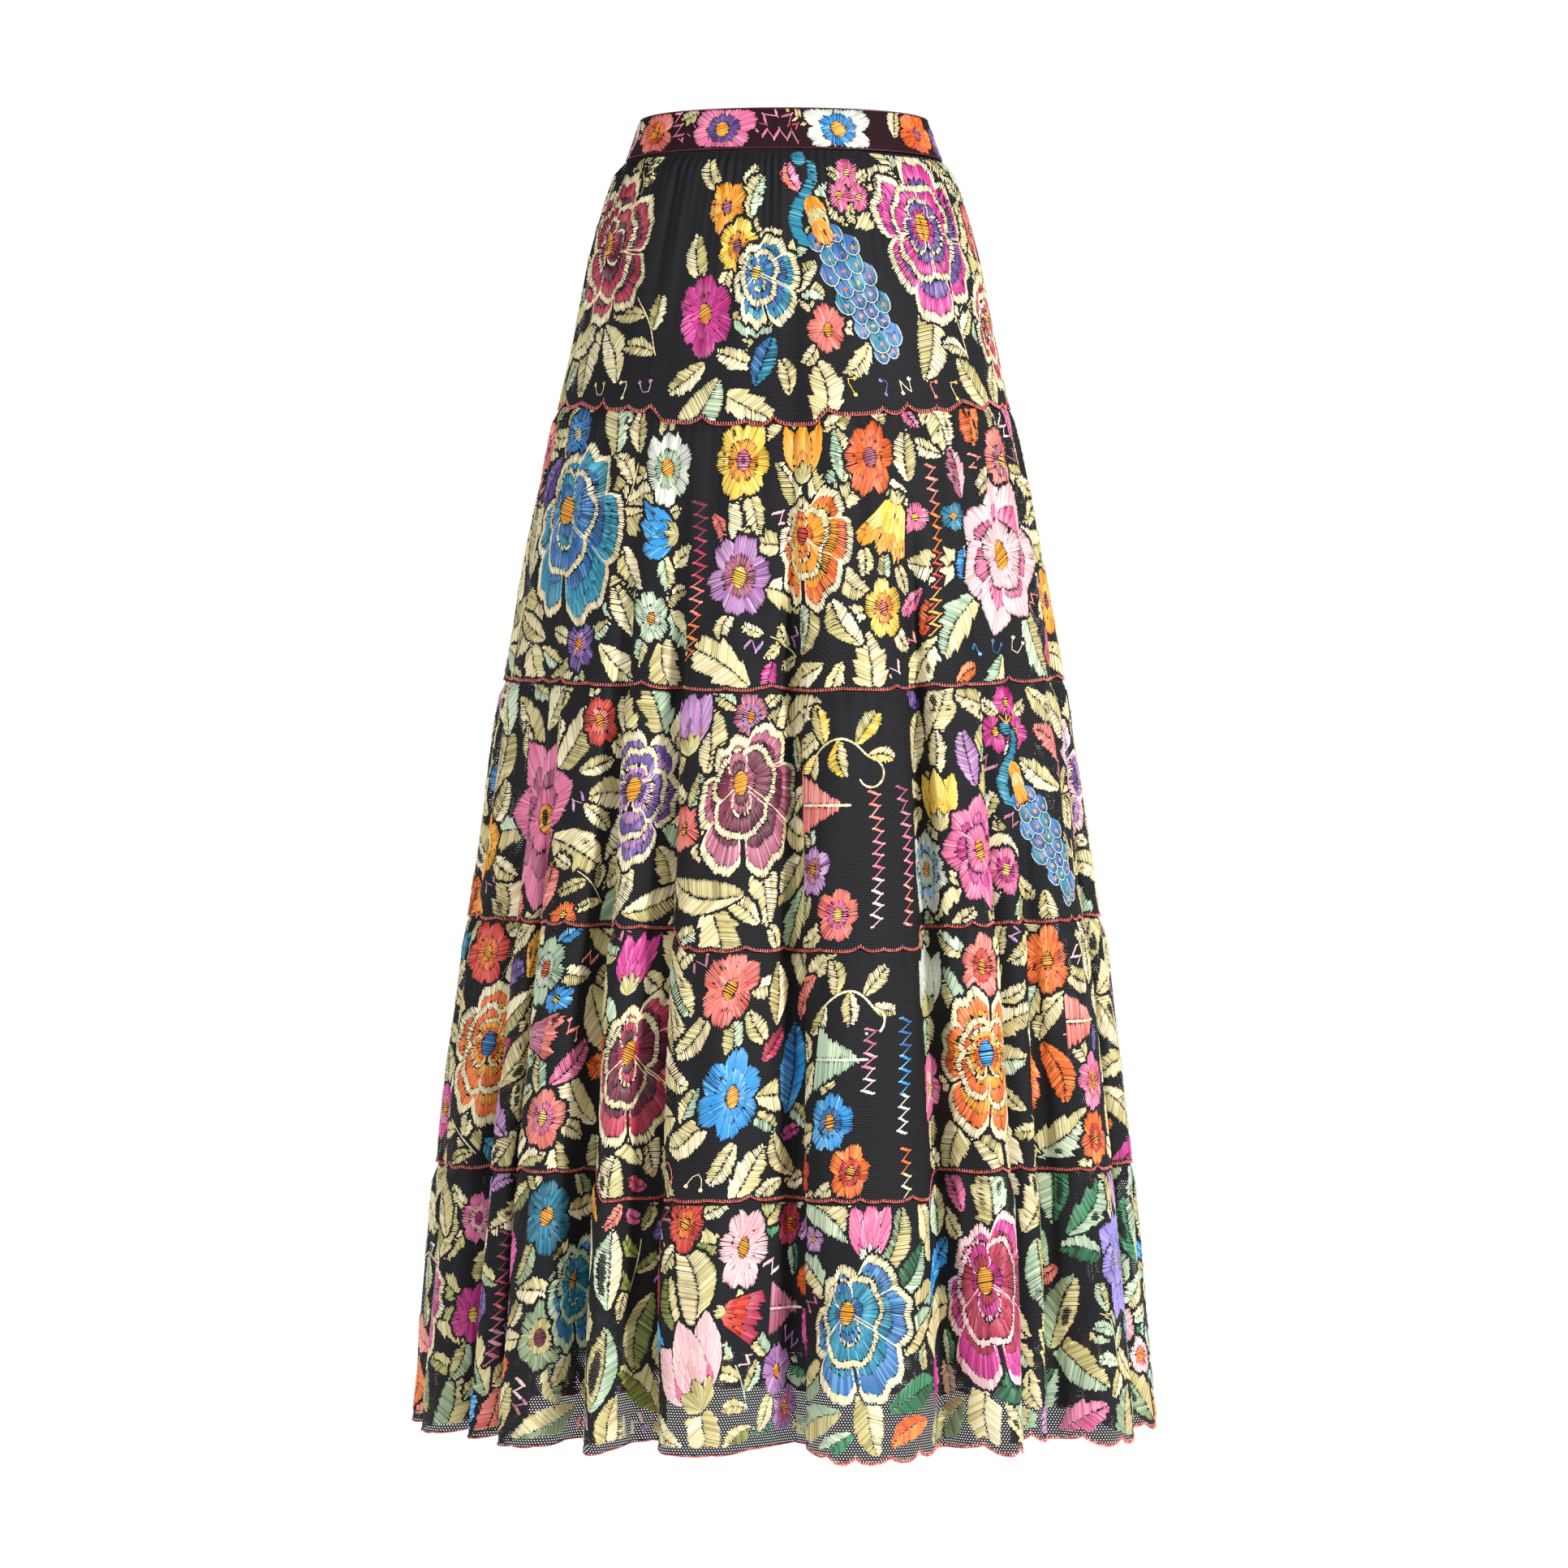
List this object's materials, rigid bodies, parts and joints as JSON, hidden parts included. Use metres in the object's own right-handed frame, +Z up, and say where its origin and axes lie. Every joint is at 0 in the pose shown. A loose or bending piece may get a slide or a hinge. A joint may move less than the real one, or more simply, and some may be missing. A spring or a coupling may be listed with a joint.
{
  "type": "embroidered maxi skirt",
  "caption": "Long tiered skirt of black net with floral thread embroidery, on a fitted waistband and over a plain slip, shown as worn.",
  "frame": {"origin": "middle of the waist opening, half way up the waistband, where the wearer's waist holds the skirt", "axes": "+Z up along the wearer's body, -Y towards the skirt's front, +X towards the wearer's left"},
  "size_m": [0.6276, 0.5314, 1.1008],
  "materials": {
    "waistband_cloth": "matte net over firm cloth",
    "embroidered_net": "matte hexagonal net",
    "slip_lining": "soft sheen lining",
    "zip_tape": "matte woven tape",
    "embroidery_thread": "glossy floss",
    "edging_thread": "glossy twisted thread"
  },
  "bodies": {
    "root": {"waistband": "waistband_cloth", "tier_1_front": "embroidered_net", "tier_1_back": "embroidered_net", "tier_2_front": "embroidered_net", "tier_2_back": "embroidered_net", "tier_3_front": "embroidered_net", "tier_3_back": "embroidered_net", "tier_4_front": "embroidered_net", "tier_4_back": "embroidered_net", "tier_5_front": "embroidered_net", "tier_5_back": "embroidered_net", "lining_yoke_front": "slip_lining", "lining_yoke_back": "slip_lining", "lining_middle_front": "slip_lining", "lining_middle_back": "slip_lining", "lining_lower_front": "slip_lining", "lining_lower_back": "slip_lining", "side_zip": "zip_tape"}
  },
  "joints": []
}
